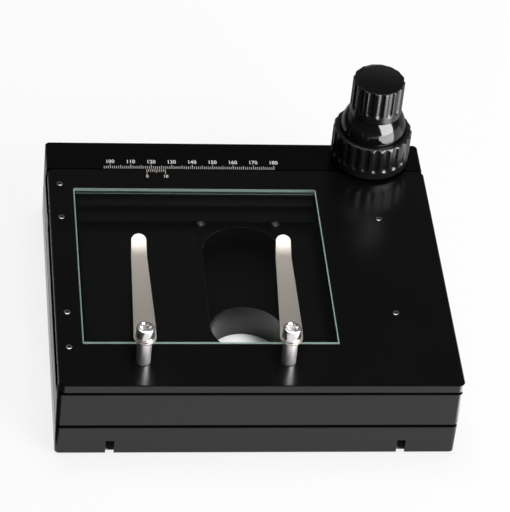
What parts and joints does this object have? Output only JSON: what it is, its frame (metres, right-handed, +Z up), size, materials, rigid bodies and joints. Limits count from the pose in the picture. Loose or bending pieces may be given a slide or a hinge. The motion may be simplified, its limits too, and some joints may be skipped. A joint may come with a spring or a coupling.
{
  "type": "mechanical microscope stage with crossed slides and coaxial drive knobs",
  "caption": "Black low-profile mechanical microscope stage: two crossed roller slides, glass insert with a light hole below, two spring clips, a scale with vernier and coaxial rack-drive knobs.",
  "frame": {"origin": "where the axis of the light hole meets the underside of the base, the bottom of bore mount light_bore", "axes": "+X along the stage's width to the right, toward the knobs, the table's travel; +Y from the front edge to the back, the carriage's travel; +Z up out of the glass"},
  "size_m": [0.1845, 0.1812, 0.0917],
  "materials": {
    "black_anodised": "satin black anodised, fine even grain",
    "inlay_black": "satin black",
    "knob_black": "satin black",
    "knob_gloss": "glossy black",
    "screw_steel": "turned",
    "bright_steel": "brushed along its length",
    "clip_fittings": "bright plated",
    "hard_steel": "ground",
    "bronze": "machined",
    "glass": "clear, greenish at its edges"
  },
  "bodies": {
    "base": {"base_plate": "black_anodised", "rail_plate": "black_anodised", "base_screws": "screw_steel", "base_rail_left": "hard_steel", "base_rail_right": "hard_steel", "base_rail_screws": "screw_steel", "y_rack": "bronze", "y_rack_screws": "screw_steel", "y_stop_pin": "hard_steel"},
    "carriage": {"carriage_body": "black_anodised", "scale_strip": "black_anodised", "strip_screws": "screw_steel", "carriage_y_rail_left": "hard_steel", "carriage_y_rail_right": "hard_steel", "carriage_y_rail_screws": "screw_steel", "carriage_x_rail_rear": "hard_steel", "carriage_x_rail_front": "hard_steel", "carriage_x_rail_screws": "screw_steel", "ball_pins": "hard_steel", "knob_bearing": "bronze", "web_bush": "bronze", "ring_washer": "bronze"},
    "table": {"top_plate": "black_anodised", "vernier_plate": "inlay_black", "end_bar": "black_anodised", "end_bar_screws": "screw_steel", "plate_screws": "screw_steel", "stage_glass": "glass", "table_x_rail_rear": "hard_steel", "table_x_rail_front": "hard_steel", "table_rail_screws": "screw_steel", "x_rack": "bronze", "x_rack_screws": "screw_steel", "left_cross_bar": "black_anodised", "right_cross_bar": "black_anodised", "x_stop_block": "black_anodised", "x_stop_screw": "screw_steel", "clip_post_left": "clip_fittings", "clip_post_right": "clip_fittings", "clip_washers": "clip_fittings", "clip_screws": "clip_fittings"},
    "x_cages": {"x_front_rollers": "hard_steel", "x_front_cage": "bronze", "x_rear_rollers": "hard_steel", "x_rear_cage": "bronze"},
    "y_cages": {"y_left_rollers": "hard_steel", "y_left_cage": "bronze", "y_right_rollers": "hard_steel", "y_right_cage": "bronze"},
    "x_knob": {"ring_knob": "knob_black", "ring_sleeve": "hard_steel", "x_pinion": "bronze"},
    "y_knob": {"knob_bell": "knob_gloss", "top_knob": "knob_black", "cap_disc": "inlay_black", "top_knob_screw": "screw_steel", "y_shaft": "hard_steel", "y_pinion": "bronze"},
    "left_clip": {"clip_left": "bright_steel"},
    "right_clip": {"clip_right": "bright_steel"}
  },
  "joints": [
    {"name": "y_travel", "type": "slide", "parent": "base", "child": "carriage", "axis": [0, 1, 0], "range_m": [-0.0405, 0.0095]},
    {"name": "x_travel", "type": "slide", "parent": "carriage", "child": "table", "axis": [1, 0, 0], "range_m": [-0.016, 0.059]},
    {"name": "y_cage_travel", "type": "slide", "parent": "base", "child": "y_cages", "axis": [0, 1, 0], "range_m": [-0.0204, 0.0049]},
    {"name": "x_cage_travel", "type": "slide", "parent": "carriage", "child": "x_cages", "axis": [1, 0, 0], "range_m": [-0.0081, 0.0296]},
    {"name": "x_knob_turn", "type": "hinge", "parent": "carriage", "child": "x_knob", "pos_m": [0.0668, 0.101, 0.053], "axis": [0, 0, 1], "range_deg": [-116, 424]},
    {"name": "y_knob_turn", "type": "hinge", "parent": "carriage", "child": "y_knob", "pos_m": [0.0668, 0.101, 0.08], "axis": [0, 0, 1], "range_deg": [-364, 87]},
    {"name": "left_clip_swing", "type": "hinge", "parent": "table", "child": "left_clip", "pos_m": [-0.053, -0.045, 0.0577], "axis": [0, 0, 1], "range_deg": [-18, 75]},
    {"name": "right_clip_swing", "type": "hinge", "parent": "table", "child": "right_clip", "pos_m": [0.013, -0.045, 0.0577], "axis": [0, 0, 1], "range_deg": [-75, 18]}
  ],
  "couplings": [
    {"joint": "x_knob_turn", "follows": "x_travel", "rad_per_m": 125},
    {"joint": "y_knob_turn", "follows": "y_travel", "rad_per_m": 156.25},
    {"joint": "x_cage_travel", "follows": "x_travel", "ratio": 0.5},
    {"joint": "y_cage_travel", "follows": "y_travel", "ratio": 0.5}
  ]
}
